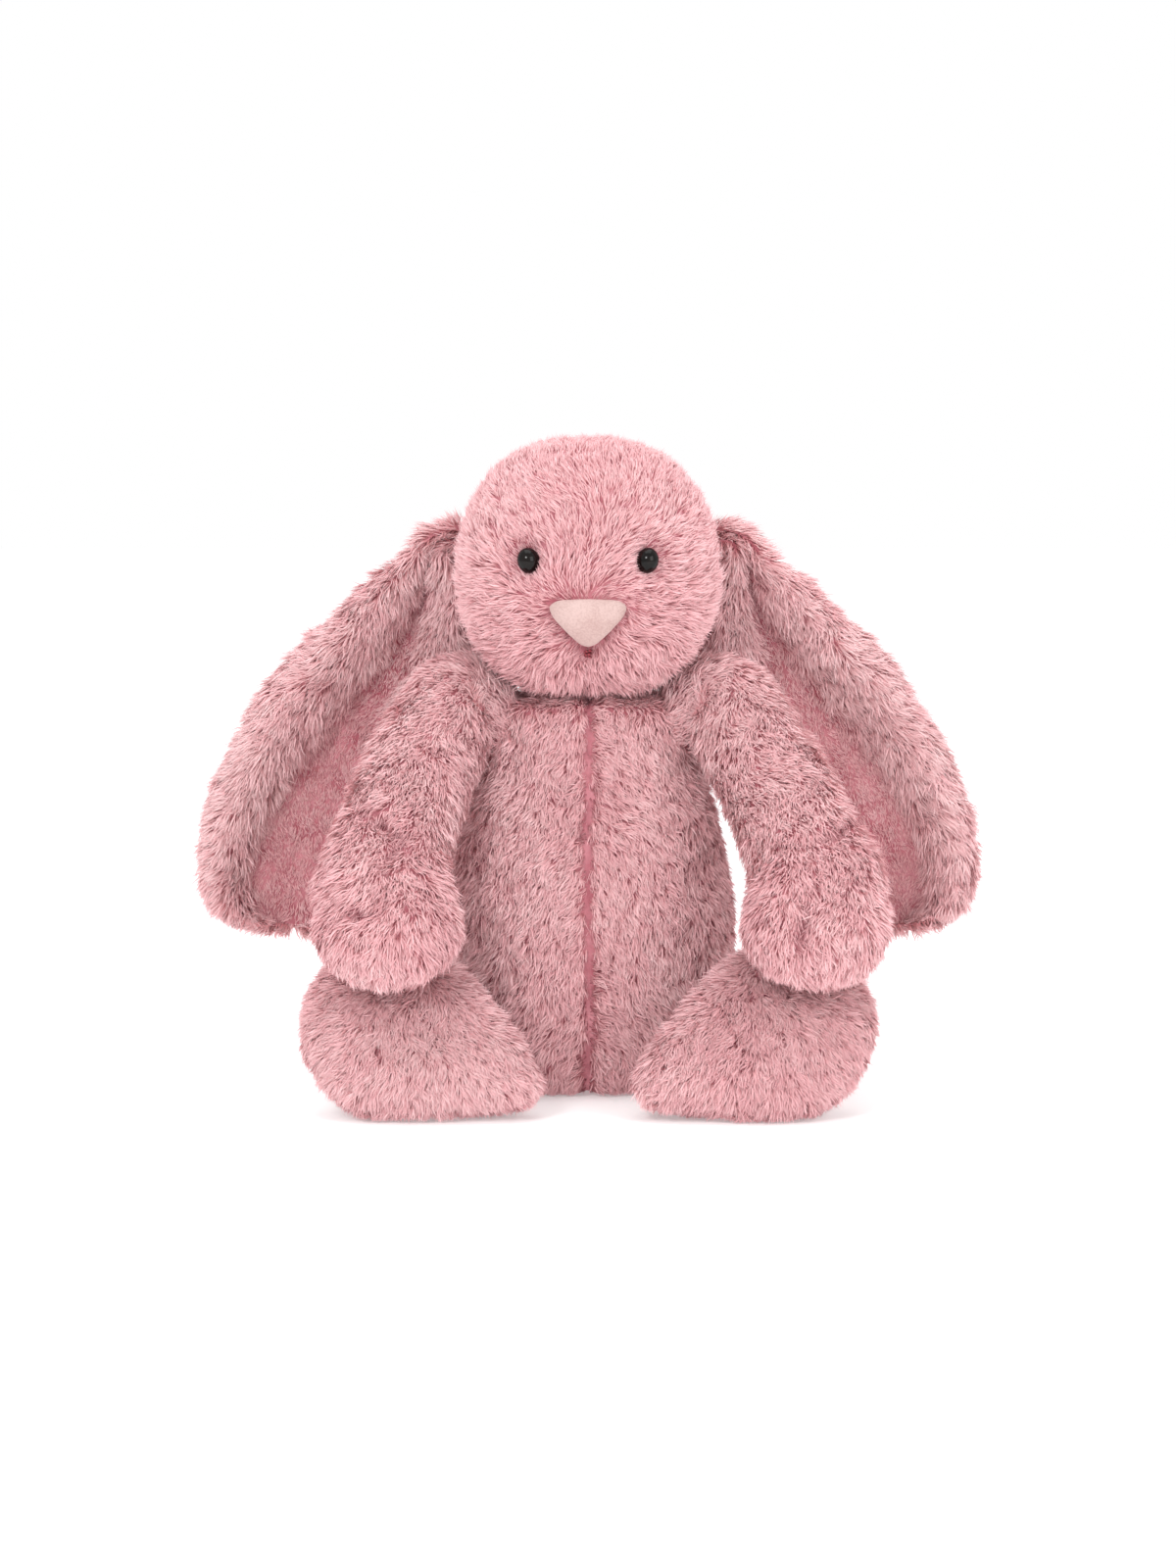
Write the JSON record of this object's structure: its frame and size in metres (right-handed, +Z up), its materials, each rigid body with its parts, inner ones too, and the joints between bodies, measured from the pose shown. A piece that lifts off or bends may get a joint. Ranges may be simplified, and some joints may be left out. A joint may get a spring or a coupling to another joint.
{
  "type": "plush rabbit",
  "caption": "Seated long-pile plush rabbit with lop ears, arms resting on its feet, stitched nose and glossy safety eyes.",
  "frame": {"origin": "middle of the flat seat panel, on the surface the rabbit sits on", "axes": "+X towards the rabbit's own left, -Y the way it faces, +Z up; ear to ear is the longest extent"},
  "size_m": [0.302, 0.1607, 0.2465],
  "materials": {
    "plush": "long-pile plush, dusty pink",
    "ear_lining": "short-pile plush, deeper dusty pink",
    "nose_velour": "velour, pale pink",
    "eye": "polished black",
    "washer": "moulded white",
    "thread": "twisted thread, dark red",
    "stuffing": "polyester fibre",
    "bean_pellets": "loose bean pellets in a bag",
    "satin_label": "woven satin, blank"
  },
  "bodies": {
    "torso": {"torso_front_left": "plush", "torso_front_right": "plush", "torso_back_left": "plush", "torso_back_right": "plush", "seat_panel": "plush", "torso_stuffing": "stuffing", "torso_bean_bag": "bean_pellets", "tail_cover": "plush", "tail_stuffing": "stuffing", "care_label": "satin_label"},
    "neck": {"neck_stuffing": "stuffing"},
    "head": {"head_left_panel": "plush", "head_right_panel": "plush", "head_gusset": "plush", "head_stuffing": "stuffing", "nose_patch": "nose_velour", "mouth_stitch": "thread", "left_eye": "eye", "right_eye": "eye", "left_eye_washer": "washer", "right_eye_washer": "washer"},
    "left_ear": {"left_ear_back": "plush", "left_ear_lining": "ear_lining"},
    "left_arm": {"left_arm_front": "plush", "left_arm_back": "plush", "left_arm_stuffing": "stuffing"},
    "left_leg": {"left_foot_sole": "plush", "left_foot_instep": "plush", "left_foot_stuffing": "stuffing", "left_foot_beans": "bean_pellets", "left_thigh": "plush"},
    "right_ear": {"right_ear_back": "plush", "right_ear_lining": "ear_lining"},
    "right_arm": {"right_arm_front": "plush", "right_arm_back": "plush", "right_arm_stuffing": "stuffing"},
    "right_leg": {"right_foot_sole": "plush", "right_foot_instep": "plush", "right_foot_stuffing": "stuffing", "right_foot_beans": "bean_pellets", "right_thigh": "plush"}
  },
  "joints": [
    {"name": "neck_turn", "type": "hinge", "parent": "torso", "child": "neck", "pos_m": [0, 0, 0.146], "axis": [0, 0, 1], "range_deg": [-8, 8], "stiffness_Nm_per_rad": 0.12},
    {"name": "neck_nod", "type": "hinge", "parent": "neck", "child": "head", "pos_m": [0, 0, 0.146], "axis": [1, 0, 0], "range_deg": [-8, 10], "stiffness_Nm_per_rad": 0.2},
    {"name": "left_ear_lift", "type": "hinge", "parent": "head", "child": "left_ear", "pos_m": [0.05714, 0.016, 0.2055], "axis": [0, -1, 0], "range_deg": [0, 105]},
    {"name": "left_arm_raise", "type": "hinge", "parent": "torso", "child": "left_arm", "pos_m": [0.04904, -0.01, 0.149], "axis": [-1, 0, 0], "range_deg": [0, 65]},
    {"name": "left_leg_swing", "type": "hinge", "parent": "torso", "child": "left_leg", "pos_m": [0.04693, -0.03875, 0.025], "axis": [0, 0, 1], "range_deg": [0, 30]},
    {"name": "right_ear_lift", "type": "hinge", "parent": "head", "child": "right_ear", "pos_m": [-0.05714, 0.016, 0.2055], "axis": [0, 1, 0], "range_deg": [0, 105]},
    {"name": "right_arm_raise", "type": "hinge", "parent": "torso", "child": "right_arm", "pos_m": [-0.04904, -0.01, 0.149], "axis": [-1, 0, 0], "range_deg": [0, 65]},
    {"name": "right_leg_swing", "type": "hinge", "parent": "torso", "child": "right_leg", "pos_m": [-0.04693, -0.03875, 0.025], "axis": [0, 0, -1], "range_deg": [0, 30]}
  ]
}
